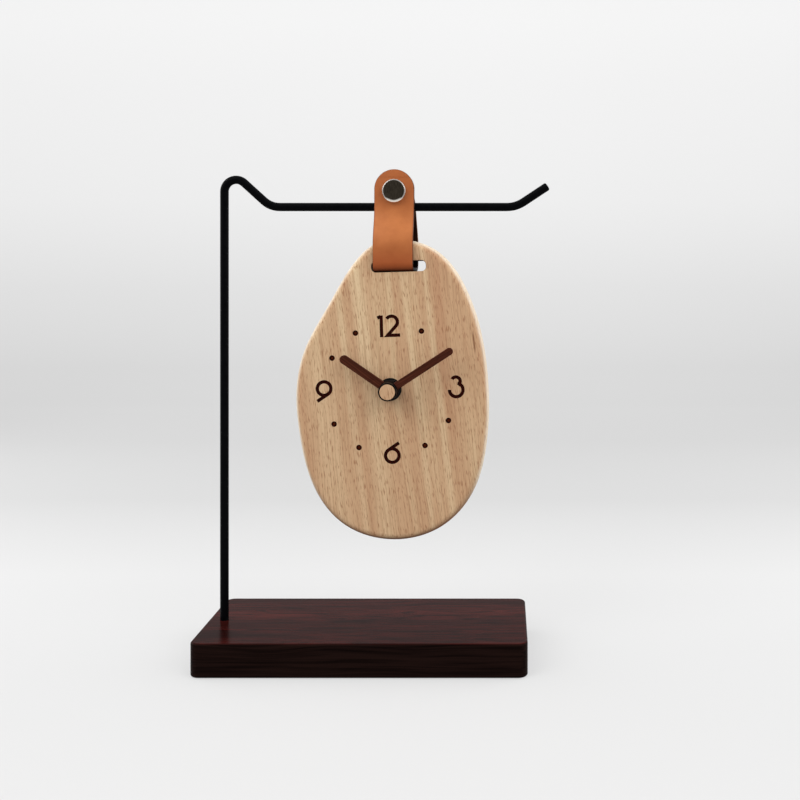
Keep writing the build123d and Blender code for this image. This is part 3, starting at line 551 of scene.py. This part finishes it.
rubberwood, tree, shader, colour, figure, in_grain = pale_wood(
    "pale_rubberwood", dial_grain_turn, cream_lines)
on_dial = axes_of(tree, object_place(tree, dial_place, dial_turn))
radius = from_axis(tree, on_dial)
depth = math_of(tree, "ABSOLUTE", on_dial["Y"])
in_ring = times(tree, math_of(tree, "GREATER_THAN", radius, mark_ring[0]),
                math_of(tree, "LESS_THAN", radius, mark_ring[1]))
in_front = math_of(tree, "LESS_THAN", on_dial["Y"], mark_deepest)
mark = times(tree, times(tree, ramp_between(tree, on_dial["Y"], *mark_depths), in_ring), in_front)
slot_x = away_from(tree, on_dial["X"], slot_middle[0])
slot_z = away_from(tree, on_dial["Z"], slot_middle[1])
in_slot = times(tree, math_of(tree, "LESS_THAN", slot_x, slot_half[0]),
                math_of(tree, "LESS_THAN", slot_z, slot_half[1]))
slot_wall = times(tree, in_slot, ramp_between(tree, depth, *slot_char_depths))
burnt = math_of(tree, "MAXIMUM", mark, slot_wall)
across_mineral = ramp_between(tree, away_from(tree, in_grain["X"], mineral_place[0]), *mineral_widths)
along_mineral = ramp_between(tree, away_from(tree, in_grain["Z"], mineral_place[1]), *mineral_lengths)
mineral = times(tree, times(tree, across_mineral, along_mineral), mineral_share)
colour = mixed(tree, mineral, colour, mineral_colour)
# Painted highlight: the upper rim is lightened to a cream sheen, in place of the bright grazing reflection
# on the rounded edge.
sheen_band = times(tree, ramp_between(tree, on_dial["Z"], *sheen_heights), sheen_share)
painted_sheen = times(tree, ramp_between(tree, depth, *sheen_depths), sheen_band)
sheen_pores = times(tree, figure["Pores"], sheen_pore_share)
sheen_wood = mixed(tree, sheen_pores, shades(tree, figure["Fibres"], sheen_shades), sheen_pore_colour)
colour = mixed(tree, painted_sheen, colour, sheen_wood)
# Painted shade: the lower rim is darkened where it faces down, away from the light.
bottom_band = times(tree, ramp_between(tree, on_dial["Z"], *bottom_shade_heights), bottom_shade_share)
painted_bottom_shade = times(tree, ramp_between(tree, depth, *bottom_shade_depths), bottom_band)
colour = mixed(tree, painted_bottom_shade, colour, bottom_shade_colour)
hour_angle = math_of(tree, "ARCTAN2", on_dial["X"], on_dial["Z"])
around_dot = times(tree, math_of(tree, "PINGPONG", hour_angle, math.radians(15)), dot_ring_radius)
across_dot = math_of(tree, "SUBTRACT", radius, dot_ring_radius)
from_dot = from_axis(tree, {"X": around_dot, "Z": across_dot})
dot_heart = times(tree, ramp_between(tree, from_dot, *dot_heart_radii), dot_heart_share)
char = mixed(tree, dot_heart, shades(tree, figure["Fibres"], char_shades), dot_heart_colour)
colour_with(tree, shader, mixed(tree, burnt, colour, char))
gloss_with(tree, shader, figure["Fibres"], low=0.50, high=0.68)
relief = math_of(tree, "SUBTRACT", figure["Fibres"], figure["Pores"])
emboss_with(tree, shader, relief, strength=0.18, depth=0.00015)
dress(rubberwood, "dial_body")


# Hands. Two flat strips of walnut with round ends, pressed on the movement's two shafts.
# Each has its grain along its own length, a nearly matt surface and a blacked hub.

hub_radii = (0.0058, 0.0056)
hub_colour = (0.0050, 0.0030, 0.0026)
hour_heading = 306.3
minute_heading = 58.7
walnut_shades = [
    (0.34, (0.044, 0.0110, 0.0055)), (0.52, (0.068, 0.0168, 0.0085)), (0.68, (0.096, 0.0250, 0.0130))]
walnut_pore_share = 0.5
walnut_pore_colour = (0.022, 0.0062, 0.0045)


def walnut_finish(name, heading):
    """Brown oiled wood with its grain along a hand's heading on the dial."""
    finish, tree, shader = new_finish(name)
    along_hand = object_place(tree, dial_place, (0, math.radians(heading - dial_tilt), 0))
    figure = add(tree, "ShaderNodeGroup", {"Vector": along_hand}, node_tree=wood_grain).outputs
    pores = times(tree, figure["Pores"], walnut_pore_share)
    colour = mixed(tree, pores, shades(tree, figure["Fibres"], walnut_shades), walnut_pore_colour)
    radius = from_axis(tree, axes_of(tree, object_place(tree, dial_place)))
    colour_with(tree, shader, mixed(tree, ramp_between(tree, radius, *hub_radii), colour, hub_colour))
    emboss_with(tree, shader, figure["Fibres"], strength=0.15, depth=0.00012)
    shader.inputs["Roughness"].default_value = 0.55
    shader.inputs["Specular IOR Level"].default_value = 0.05
    return finish


dress(walnut_finish("walnut_hour_hand", hour_heading), "hour_hand")
dress(walnut_finish("walnut_minute_hand", minute_heading), "minute_hand")


# Cap on the centre. A turned, black lacquered cap covers the end of the shaft, and a disc of
# the dial's own pale wood is let into it. Behind the hands sit a black washer and thin nut.

inlay_grain_turn = -12
lacquer = plain_finish("black_lacquer", (0.0035, 0.0026, 0.0024), (0.0070, 0.0050, 0.0046),
                       roughness=0.45, metallic=0.0, fineness=1800, relief=0.15, shine=0.06)
inlay_wood, tree, shader, colour = pale_wood("inlay_wood", inlay_grain_turn, [])[:4]
colour_with(tree, shader, colour)
shader.inputs["Roughness"].default_value = 0.55
blacked = plain_finish("blackened_steel", (0.006, 0.006, 0.006), (0.012, 0.012, 0.012),
                       roughness=0.42, metallic=0.3, fineness=1700, relief=0.15, shine=0.15)
dress(lacquer, "hand_cap")
dress(inlay_wood, "cap_inlay")
dress(blacked, "fixing_washer", "fixing_nut")


# Movement. A moulded black case with a smooth satin back plate fills the pocket; the ribbed
# knob sets the hands. Inside are pale moulded wheels on steel arbors.

satin = plain_finish("moulded_black_plastic", (0.010, 0.010, 0.011), (0.018, 0.018, 0.019),
                     roughness=0.46, metallic=0.0, fineness=2200, relief=0.35)
acetal = plain_finish("pale_acetal", (0.70, 0.68, 0.60), (0.80, 0.78, 0.71),
                      roughness=0.42, metallic=0.0, fineness=1600, relief=0.10)
turned = plain_finish("turned_steel", (0.45, 0.45, 0.46), (0.60, 0.60, 0.61),
                      roughness=0.28, metallic=1.0, fineness=1500, relief=0.08)
dress(satin, "movement_case", "movement_cover", "setting_knob", "coil_bobbin", "control_chip")
dress(acetal, "train_plate", "hour_wheel", "minute_wheel", "center_wheel", "third_wheel", "second_wheel",
      "idler_wheel", "rotor", "setting_pinion")
dress(turned, "minute_arbor", "quartz_crystal")
dress(rubber, "rubber_gasket")


# Motor and circuit. A ferrite magnet turns in a soft iron stator joined to the coil's core;
# the coil is fine enamelled copper, and the board is green glass fibre.

iron = plain_finish("soft_iron", (0.28, 0.27, 0.26), (0.38, 0.37, 0.36),
                    roughness=0.42, metallic=1.0, fineness=1400, relief=0.12)
ferrite = plain_finish("dark_ferrite", (0.020, 0.020, 0.021), (0.034, 0.034, 0.036),
                       roughness=0.55, metallic=0.0, fineness=2000, relief=0.25)
copper = plain_finish("enamelled_copper", (0.50, 0.19, 0.075), (0.66, 0.27, 0.11),
                      roughness=0.30, metallic=1.0, fineness=3200, relief=0.45)
board = plain_finish("green_board", (0.008, 0.075, 0.028), (0.015, 0.11, 0.042),
                     roughness=0.35, metallic=0.0, fineness=1200, relief=0.10)
dress(iron, "stator_plate", "coil_core")
dress(ferrite, "rotor_magnet")
dress(copper, "coil_winding")
dress(board, "circuit_board")


# Battery and contacts. A round cell in a plain printed sleeve, bare steel at both ends, lies
# across the bay at the bottom; two sprung nickelled leaves touch its ends.

sleeve_mottle_scale = (500, 500, 500)
sleeve_shades = [(0.3, (0.060, 0.110, 0.160)), (0.7, (0.075, 0.135, 0.190))]
sleeve_band_start = 0.0125
sleeve_band_colour = (0.62, 0.63, 0.64)
sleeve_band_metal = 0.8
cell_middle = -0.0006
sleeve_half = 0.0240
bare_steel_colour = (0.66, 0.66, 0.65)
nickelled = plain_finish("nickelled_spring", (0.55, 0.54, 0.51), (0.68, 0.67, 0.64),
                         roughness=0.26, metallic=1.0, fineness=1500, relief=0.10)
sleeve, tree, shader = new_finish("battery_sleeve")
along_cell = axes_of(tree, object_place(tree, dial_place, dial_turn))["X"]
mottle = stretched_noise(tree, object_place(tree), sleeve_mottle_scale, detail=2)
band = math_of(tree, "GREATER_THAN", along_cell, sleeve_band_start)
wrap = mixed(tree, band, shades(tree, mottle, sleeve_shades), sleeve_band_colour)
bare = math_of(tree, "GREATER_THAN", away_from(tree, along_cell, cell_middle), sleeve_half)
colour_with(tree, shader, mixed(tree, bare, wrap, bare_steel_colour))
metal = math_of(tree, "MAXIMUM", bare, times(tree, band, sleeve_band_metal))
tree.links.new(metal, shader.inputs["Metallic"])
gloss_with(tree, shader, mottle, low=0.24, high=0.36)
dress(nickelled, "positive_contact", "negative_contact")
dress(sleeve, "battery")


# Stage. A pale seamless sheet curves from the floor up into the background, lit by two broad
# lamps from the upper left and right, two at the sides that catch the rims, and one above.

sheet_half_width = 4.0
sheet_front = -2.5
sheet_back = 1.1
sheet_curve = 0.7
sheet_wall = 3.0
glow_end = 2.66
glow_levels = [(0.0, 0.515), (0.15, 0.535), (0.40, 0.42), (0.75, 0.425), (1.07, 0.48), (1.40, 0.478),
               (1.80, 0.545), (2.15, 0.640), (glow_end, 0.722)]
room_light = 0.70
room_seen = 0.60
bm = bmesh.new()
first = bm.verts.new((-sheet_half_width, sheet_front, 0.0))
second = bm.verts.new((sheet_half_width, sheet_front, 0.0))
edge = bm.edges.new((first, second))
run = bmesh.ops.extrude_edge_only(bm, edges=[edge])
moved = [v for v in run["geom"] if isinstance(v, bmesh.types.BMVert)]
bmesh.ops.translate(bm, verts=moved, vec=(0, sheet_back - sheet_front, 0))
last = [e for e in run["geom"] if isinstance(e, bmesh.types.BMEdge) and all(v in moved for v in e.verts)]
rise = bmesh.ops.spin(bm, geom=last, cent=(0, sheet_back, sheet_curve), axis=(1, 0, 0), dvec=(0, 0, 0),
                      angle=math.radians(90), steps=24, use_merge=False, use_duplicate=False)
last = [e for e in rise["geom_last"] if isinstance(e, bmesh.types.BMEdge)]
run = bmesh.ops.extrude_edge_only(bm, edges=last)
bmesh.ops.translate(bm, verts=[v for v in run["geom"] if isinstance(v, bmesh.types.BMVert)],
                    vec=(0, 0, sheet_wall))
bmesh.ops.recalc_face_normals(bm, faces=bm.faces)
for face in bm.faces:
    face.smooth = True
sheet_mesh = bpy.data.meshes.new("paper_sweep")
bm.to_mesh(sheet_mesh)
bm.free()
sheet = bpy.data.objects.new("paper_sweep", sheet_mesh)
bpy.context.scene.collection.objects.link(sheet)


def seen_rays(tree):
    """1 for what the camera sees, straight or in a gloss, and 0 for the light that falls on things."""
    rays = add(tree, "ShaderNodeLightPath", {}).outputs
    return math_of(tree, "MAXIMUM", rays["Is Camera Ray"],
                   math_of(tree, "MAXIMUM", rays["Is Glossy Ray"], rays["Is Transmission Ray"]))


paper, tree, shader = new_finish("pale_paper")
on_sheet = axes_of(tree, object_place(tree))
along_sheet = math_of(tree, "ADD", on_sheet["Y"], on_sheet["Z"])
glow = shades(tree, math_of(tree, "DIVIDE", along_sheet, glow_end),
              [(place / glow_end, (level, level, level)) for place, level in glow_levels])
glow = mixed(tree, seen_rays(tree), (0.0, 0.0, 0.0, 1.0), glow)
tree.links.new(glow, shader.inputs["Emission Color"])
shader.inputs["Emission Strength"].default_value = 1.0
shader.inputs["Base Color"].default_value = (0.25, 0.25, 0.25, 1.0)
shader.inputs["Roughness"].default_value = 0.9
shader.inputs["Specular IOR Level"].default_value = 0.1
sheet_mesh.materials.append(paper)

world = bpy.data.worlds.new("soft_room")
world.use_nodes = True
tree = world.node_tree
strength = add(tree, "ShaderNodeMapRange",
               {"Value": seen_rays(tree), "To Min": room_light, "To Max": room_seen})
tree.links.new(strength.outputs["Result"], tree.nodes["Background"].inputs["Strength"])
tree.nodes["Background"].inputs["Color"].default_value = (1.0, 1.0, 1.0, 1.0)
bpy.context.scene.world = world


def soft_lamp(name, place, aim, size, power):
    """A square lamp that points at a place."""
    data = bpy.data.lights.new(name, "AREA")
    data.size = size
    data.energy = power
    lamp = bpy.data.objects.new(name, data)
    lamp.location = place
    lamp.rotation_euler = (Vector(aim) - Vector(place)).to_track_quat("-Z", "Y").to_euler()
    bpy.context.scene.collection.objects.link(lamp)


soft_lamp("upper_left_lamp", (-1.0, -0.9, 1.2), aim=(0, 0, 0.15), size=1.0, power=10.5)
soft_lamp("upper_right_lamp", (1.1, -0.9, 1.2), aim=(0, 0, 0.15), size=1.0, power=8.4)
soft_lamp("left_side_lamp", (-0.9, 0.25, 0.45), aim=(0, 0, 0.16), size=0.8, power=4.0)
soft_lamp("right_side_lamp", (0.9, 0.25, 0.45), aim=(0, 0, 0.16), size=0.8, power=4.0)
soft_lamp("top_lamp", (0.0, 0.1, 1.5), aim=(0, 0, 0), size=1.4, power=6.0)

camera_data = bpy.data.cameras.new("camera")
camera_data.sensor_width = 36.0
camera_data.lens = 43.3
camera_data.shift_x = -0.129
camera_data.shift_y = -0.150
camera = bpy.data.objects.new("camera", camera_data)
camera.location = (0.074115, -0.575, 0.2224)
camera.rotation_euler = (math.radians(90), 0, 0)
bpy.context.scene.collection.objects.link(camera)
bpy.context.scene.camera = camera
